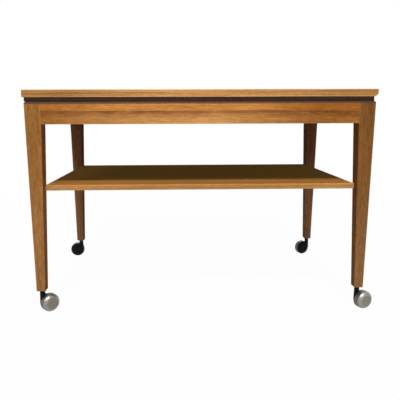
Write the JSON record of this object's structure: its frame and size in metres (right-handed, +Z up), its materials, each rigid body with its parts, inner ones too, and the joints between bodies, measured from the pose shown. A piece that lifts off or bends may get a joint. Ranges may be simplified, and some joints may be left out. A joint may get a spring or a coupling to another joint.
{
  "type": "drop leaf tea trolley",
  "caption": "Rectangular wooden tea trolley on swivel castors, with a lower shelf and a hinged rear leaf that stays hold level or let hang.",
  "frame": {"origin": "on the floor, under the middle of the whole top with its leaf raised", "axes": "+X along the length to the right as seen from the front, +Y from the front to the leaf at the rear, +Z up"},
  "size_m": [0.8898, 0.7341, 0.5555],
  "materials": {
    "teak_veneer_top": "oiled teak veneer, satin",
    "teak_lipping": "solid teak lipping, satin",
    "teak_leg": "solid teak, satin",
    "teak_apron": "teak veneer on solid wood, satin",
    "dark_spacer": "dark stained hardwood",
    "block_wood": "plain sawn softwood",
    "screw_steel": "zinc-plated steel",
    "teak_veneer_shelf": "teak veneer, semi-gloss",
    "shelf_lipping": "solid teak lipping, satin",
    "dowel_wood": "plain beech",
    "hinge_brass": "satin brass, slightly dulled",
    "pin_steel": "drawn steel",
    "stay_steel": "zinc-plated steel",
    "zinc_steel": "zinc-plated steel",
    "hood_black": "gloss black enamel",
    "wheel_nylon": "moulded nylon",
    "nickel_shell": "satin nickel plate"
  },
  "bodies": {
    "frame": {"top_panel": "teak_veneer_top", "top_lipping_front": "teak_lipping", "top_lipping_rear": "teak_lipping", "top_lipping_ends": "teak_lipping", "leg_front_left": "teak_leg", "leg_front_right": "teak_leg", "leg_rear_left": "teak_leg", "leg_rear_right": "teak_leg", "apron_front": "teak_apron", "apron_rear": "teak_apron", "apron_left": "teak_apron", "apron_right": "teak_apron", "spacer_front": "dark_spacer", "spacer_rear": "dark_spacer", "spacer_ends": "dark_spacer", "corner_blocks": "block_wood", "top_screws": "screw_steel", "shelf_panel": "teak_veneer_shelf", "shelf_lipping_front": "shelf_lipping", "shelf_lipping_rear": "shelf_lipping", "shelf_lipping_ends": "shelf_lipping", "shelf_dowels": "dowel_wood", "hinge_plates_top": "hinge_brass", "hinge_pins": "pin_steel", "stay_brackets": "stay_steel", "stay_rivets": "stay_steel", "castor_sockets": "zinc_steel"},
    "leaf": {"leaf_panel": "teak_veneer_top", "leaf_lipping_front": "teak_lipping", "leaf_lipping_rear": "teak_lipping", "leaf_lipping_ends": "teak_lipping", "hinge_plates_leaf": "hinge_brass", "stay_guides": "stay_steel"},
    "stay_left": {"stay_left_arm": "stay_steel", "stay_left_stud": "stay_steel"},
    "stay_right": {"stay_right_arm": "stay_steel", "stay_right_stud": "stay_steel"},
    "castor_front_left_swivel": {"castor_front_left_stem": "zinc_steel", "castor_front_left_hood": "hood_black", "castor_front_left_axle": "zinc_steel"},
    "castor_front_left_wheel": {"castor_front_left_wheel_core": "wheel_nylon", "castor_front_left_wheel_shell": "nickel_shell"},
    "castor_front_right_swivel": {"castor_front_right_stem": "zinc_steel", "castor_front_right_hood": "hood_black", "castor_front_right_axle": "zinc_steel"},
    "castor_front_right_wheel": {"castor_front_right_wheel_core": "wheel_nylon", "castor_front_right_wheel_shell": "nickel_shell"},
    "castor_rear_left_swivel": {"castor_rear_left_stem": "zinc_steel", "castor_rear_left_hood": "hood_black", "castor_rear_left_axle": "zinc_steel"},
    "castor_rear_left_wheel": {"castor_rear_left_wheel_core": "wheel_nylon", "castor_rear_left_wheel_shell": "nickel_shell"},
    "castor_rear_right_swivel": {"castor_rear_right_stem": "zinc_steel", "castor_rear_right_hood": "hood_black", "castor_rear_right_axle": "zinc_steel"},
    "castor_rear_right_wheel": {"castor_rear_right_wheel_core": "wheel_nylon", "castor_rear_right_wheel_shell": "nickel_shell"}
  },
  "joints": [
    {"name": "leaf_hinge", "type": "hinge", "parent": "frame", "child": "leaf", "pos_m": [0, 0.1445, 0.5367], "axis": [-1, 0, 0], "range_deg": [0, 90]},
    {"name": "stay_left_pivot", "type": "hinge", "parent": "frame", "child": "stay_left", "pos_m": [-0.19645, 0.1375, 0.5057], "axis": [-1, 0, 0], "range_deg": [0, 100]},
    {"name": "stay_right_pivot", "type": "hinge", "parent": "frame", "child": "stay_right", "pos_m": [0.20355, 0.1375, 0.5057], "axis": [-1, 0, 0], "range_deg": [0, 100]},
    {"name": "castor_front_left_swivel", "type": "hinge", "parent": "frame", "child": "castor_front_left_swivel", "pos_m": [-0.4055, -0.348, 0.0585], "axis": [0, 0, 1], "continuous": true},
    {"name": "castor_front_left_wheel", "type": "hinge", "parent": "castor_front_left_swivel", "child": "castor_front_left_wheel", "pos_m": [-0.38653, -0.34677, 0.023], "axis": [0.6947, -0.7193, 0], "continuous": true},
    {"name": "castor_front_right_swivel", "type": "hinge", "parent": "frame", "child": "castor_front_right_swivel", "pos_m": [0.4055, -0.348, 0.0585], "axis": [0, 0, 1], "continuous": true},
    {"name": "castor_front_right_wheel", "type": "hinge", "parent": "castor_front_right_swivel", "child": "castor_front_right_wheel", "pos_m": [0.4235, -0.35413, 0.023], "axis": [0.3665, -0.9304, 0], "continuous": true},
    {"name": "castor_rear_left_swivel", "type": "hinge", "parent": "frame", "child": "castor_rear_left_swivel", "pos_m": [-0.4055, 0.119, 0.0585], "axis": [0, 0, 1], "continuous": true},
    {"name": "castor_rear_left_wheel", "type": "hinge", "parent": "castor_rear_left_swivel", "child": "castor_rear_left_wheel", "pos_m": [-0.42062, 0.13052, 0.023], "axis": [-0.0523, 0.9986, 0], "continuous": true},
    {"name": "castor_rear_right_swivel", "type": "hinge", "parent": "frame", "child": "castor_rear_right_swivel", "pos_m": [0.4055, 0.119, 0.0585], "axis": [0, 0, 1], "continuous": true},
    {"name": "castor_rear_right_wheel", "type": "hinge", "parent": "castor_rear_right_swivel", "child": "castor_rear_right_wheel", "pos_m": [0.3875, 0.12513, 0.023], "axis": [-0.3665, 0.9304, 0], "continuous": true}
  ],
  "couplings": [
    {"joint": "stay_left_pivot", "follows": "leaf_hinge", "ratio": 1.11},
    {"joint": "stay_right_pivot", "follows": "leaf_hinge", "ratio": 1.11}
  ]
}
